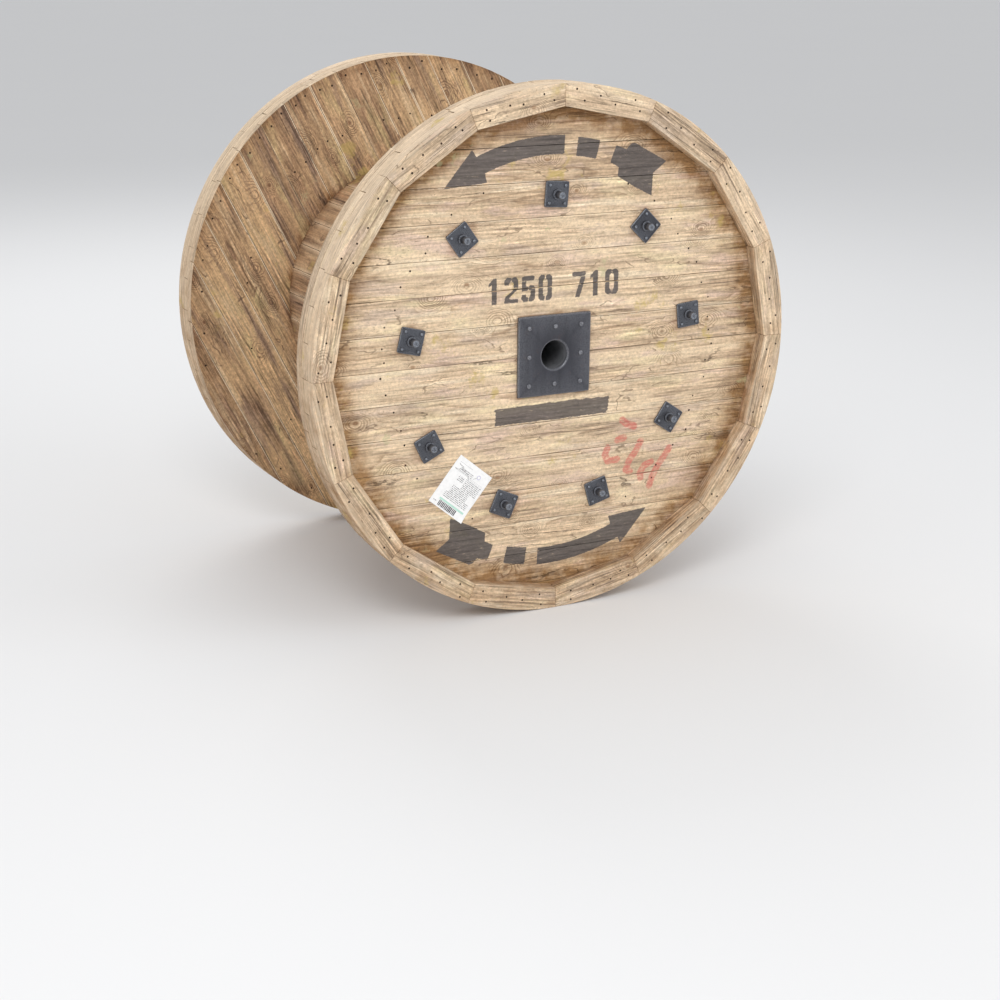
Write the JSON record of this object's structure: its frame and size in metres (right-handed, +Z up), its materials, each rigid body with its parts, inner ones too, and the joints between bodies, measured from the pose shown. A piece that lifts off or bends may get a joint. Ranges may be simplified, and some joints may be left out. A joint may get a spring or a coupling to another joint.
{
  "type": "wooden cable drum",
  "caption": "Wooden cable drum: round flanges of crossed boards with mitred felloe rims, a stave barrel between them and a steel spindle tube with centre plates.",
  "frame": {"origin": "on the floor under the middle of the drum, at the centre of the lower side of its box", "axes": "+Z up; the drum lies on both flanges with its axis along Y; the front flange, whose outside carries the marks, faces -Y; +X is to the right of someone who looks at it"},
  "size_m": [1.2496, 0.9382, 1.2496],
  "materials": {
    "rim_timber": "pale weathered softwood, sawn",
    "pale_boards": "pale weathered softwood boards with worn paint marks",
    "brown_boards": "brown weathered softwood boards",
    "stave_timber": "brown weathered softwood staves with worn edges",
    "head_timber": "sawn softwood",
    "plate_iron": "dark, worn, satin",
    "tube_steel": "dark, dull"
  },
  "bodies": {
    "root": {"front_felloe_01": "rim_timber", "front_felloe_02": "rim_timber", "front_felloe_03": "rim_timber", "front_felloe_04": "rim_timber", "front_felloe_05": "rim_timber", "front_felloe_06": "rim_timber", "front_felloe_07": "rim_timber", "front_felloe_08": "rim_timber", "front_felloe_09": "rim_timber", "front_felloe_10": "rim_timber", "front_felloe_11": "rim_timber", "front_felloe_12": "rim_timber", "front_felloe_13": "rim_timber", "front_felloe_14": "rim_timber", "front_felloe_15": "rim_timber", "front_felloe_16": "rim_timber", "front_outer_boards": "pale_boards", "front_inner_boards": "brown_boards", "front_centre_plate": "plate_iron", "front_stud_plate_1": "plate_iron", "front_stud_plate_2": "plate_iron", "front_stud_plate_3": "plate_iron", "front_stud_plate_4": "plate_iron", "front_stud_plate_5": "plate_iron", "front_stud_plate_6": "plate_iron", "front_stud_plate_7": "plate_iron", "front_stud_plate_8": "plate_iron", "front_stud_plate_9": "plate_iron", "front_barrel_head": "head_timber", "back_felloe_01": "rim_timber", "back_felloe_02": "rim_timber", "back_felloe_03": "rim_timber", "back_felloe_04": "rim_timber", "back_felloe_05": "rim_timber", "back_felloe_06": "rim_timber", "back_felloe_07": "rim_timber", "back_felloe_08": "rim_timber", "back_felloe_09": "rim_timber", "back_felloe_10": "rim_timber", "back_felloe_11": "rim_timber", "back_felloe_12": "rim_timber", "back_felloe_13": "rim_timber", "back_felloe_14": "rim_timber", "back_felloe_15": "rim_timber", "back_felloe_16": "rim_timber", "back_outer_boards": "pale_boards", "back_inner_boards": "brown_boards", "back_centre_plate": "plate_iron", "back_stud_plate_1": "plate_iron", "back_stud_plate_2": "plate_iron", "back_stud_plate_3": "plate_iron", "back_stud_plate_4": "plate_iron", "back_stud_plate_5": "plate_iron", "back_stud_plate_6": "plate_iron", "back_stud_plate_7": "plate_iron", "back_stud_plate_8": "plate_iron", "back_stud_plate_9": "plate_iron", "back_barrel_head": "head_timber", "barrel_staves": "stave_timber", "hub_tube": "tube_steel"}
  },
  "joints": []
}
